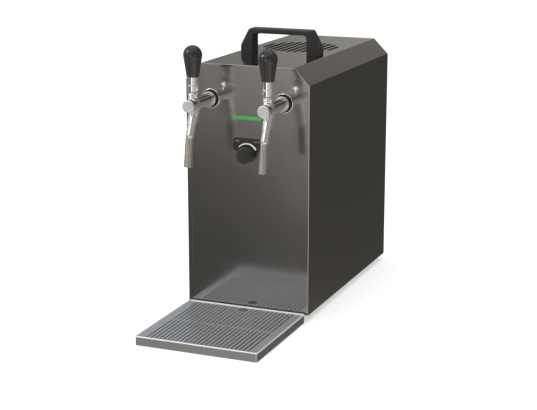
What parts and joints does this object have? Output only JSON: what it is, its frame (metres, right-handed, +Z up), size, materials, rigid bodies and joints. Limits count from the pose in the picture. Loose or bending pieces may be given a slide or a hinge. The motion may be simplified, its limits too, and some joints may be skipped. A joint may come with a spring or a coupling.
{
  "type": "draft beer dispenser",
  "caption": "Countertop dry cooler that chills and pours draft beer: slant-edged steel cabinet, chrome taps with tilting levers, temperature knob, carry handle and drip tray.",
  "frame": {"origin": "on the table under the middle of the whole outline, drip tray and rear fittings included", "axes": "+Z up, -Y to the front where the taps are, +X to the right seen from the front"},
  "size_m": [0.24, 0.6964, 0.5115],
  "materials": {
    "dark_steel": "polished, dark",
    "panel_steel": "mirror polished, dark",
    "satin_steel": "satin",
    "chrome": "polished",
    "zinc_steel": "zinc plated",
    "matte_black": "fine moulded grain",
    "gloss_black": "polished",
    "rubber": "matte",
    "white_print": "printed",
    "green_print": "printed",
    "cast_aluminium": "as cast",
    "copper": "drawn tube",
    "brass": "turned",
    "foam": "closed cell foam",
    "clear_line": "milky tube",
    "black_paint": "semi gloss"
  },
  "bodies": {
    "cabinet": {"casing_cover": "dark_steel", "front_panel": "panel_steel", "back_panel": "dark_steel", "base_pan": "zinc_steel", "rubber_feet": "rubber", "carry_handle": "matte_black", "handle_screws": "zinc_steel", "back_screws": "zinc_steel", "dial_plate": "matte_black", "dial_scale": "white_print", "accent_strip": "green_print", "thermostat_body": "zinc_steel", "capillary_tube": "copper", "left_tap_body": "chrome", "right_tap_body": "chrome", "left_tap_cap": "satin_steel", "right_tap_cap": "satin_steel", "left_wall_collar": "chrome", "right_wall_collar": "chrome", "left_spout": "chrome", "right_spout": "chrome", "left_spout_tip": "satin_steel", "right_spout_tip": "satin_steel", "tap_nuts": "zinc_steel", "pivot_pins": "zinc_steel", "insulation_boards": "foam", "cooling_block": "cast_aluminium", "beer_coils": "satin_steel", "evaporator_coil": "copper", "tap_lines": "clear_line", "supply_lines": "clear_line", "refrigerant_lines": "copper", "compressor_shell": "black_paint", "compressor_motor": "zinc_steel", "compressor_grommets": "rubber", "compressor_studs": "zinc_steel", "condenser_fins": "cast_aluminium", "condenser_tube": "copper", "fan_shroud": "zinc_steel", "fan_motor": "matte_black", "air_pump": "matte_black", "beer_inlets": "satin_steel", "air_outlets": "brass", "switch_frames": "matte_black", "cord_gland": "matte_black"},
    "left_lever": {"left_lever": "chrome", "left_lever_knob": "gloss_black"},
    "right_lever": {"right_lever": "chrome", "right_lever_knob": "gloss_black"},
    "left_plunger": {"left_plunger": "satin_steel"},
    "right_plunger": {"right_plunger": "satin_steel"},
    "thermostat_knob": {"thermostat_knob": "matte_black", "thermostat_shaft": "zinc_steel"},
    "fan": {"fan_rotor": "matte_black"},
    "drip_tray": {"drip_pan": "satin_steel"},
    "drip_grid": {"drip_grid": "satin_steel"},
    "power_rocker": {"power_rocker": "gloss_black"},
    "pump_rocker": {"pump_rocker": "gloss_black"},
    "left_collet": {"left_collet": "matte_black"},
    "right_collet": {"right_collet": "matte_black"}
  },
  "joints": [
    {"name": "left_lever_tilt", "type": "hinge", "parent": "cabinet", "child": "left_lever", "pos_m": [-0.071, -0.1932, 0.421], "axis": [1, 0, 0], "range_deg": [0, 25]},
    {"name": "left_valve_slide", "type": "slide", "parent": "cabinet", "child": "left_plunger", "axis": [0, 1, 0], "range_m": [0, 0.0086]},
    {"name": "right_lever_tilt", "type": "hinge", "parent": "cabinet", "child": "right_lever", "pos_m": [0.071, -0.1932, 0.421], "axis": [1, 0, 0], "range_deg": [0, 25]},
    {"name": "right_valve_slide", "type": "slide", "parent": "cabinet", "child": "right_plunger", "axis": [0, 1, 0], "range_m": [0, 0.0086]},
    {"name": "thermostat_turn", "type": "hinge", "parent": "cabinet", "child": "thermostat_knob", "pos_m": [0, -0.1205, 0.303], "axis": [0, 1, 0], "range_deg": [-56, 56]},
    {"name": "fan_spin", "type": "hinge", "parent": "cabinet", "child": "fan", "pos_m": [0, 0.1478, 0.435], "axis": [0, 0, 1], "continuous": true},
    {"name": "tray_slide", "type": "slide", "parent": "cabinet", "child": "drip_tray", "axis": [0, -1, 0], "range_m": [0, 0.15]},
    {"name": "grid_lift", "type": "slide", "parent": "drip_tray", "child": "drip_grid", "axis": [0, 0, 1], "range_m": [0, 0.08]},
    {"name": "power_rocker_tilt", "type": "hinge", "parent": "cabinet", "child": "power_rocker", "pos_m": [-0.05, 0.3301, 0.128], "axis": [1, 0, 0], "range_deg": [0, 20]},
    {"name": "pump_rocker_tilt", "type": "hinge", "parent": "cabinet", "child": "pump_rocker", "pos_m": [-0.01, 0.3301, 0.128], "axis": [1, 0, 0], "range_deg": [0, 20]},
    {"name": "left_collet_press", "type": "slide", "parent": "cabinet", "child": "left_collet", "axis": [0, -1, 0], "range_m": [0, 0.0015]},
    {"name": "right_collet_press", "type": "slide", "parent": "cabinet", "child": "right_collet", "axis": [0, -1, 0], "range_m": [0, 0.0015]}
  ],
  "couplings": [
    {"joint": "left_valve_slide", "follows": "left_lever_tilt", "m_per_rad": 0.0195},
    {"joint": "right_valve_slide", "follows": "right_lever_tilt", "m_per_rad": 0.0195}
  ]
}
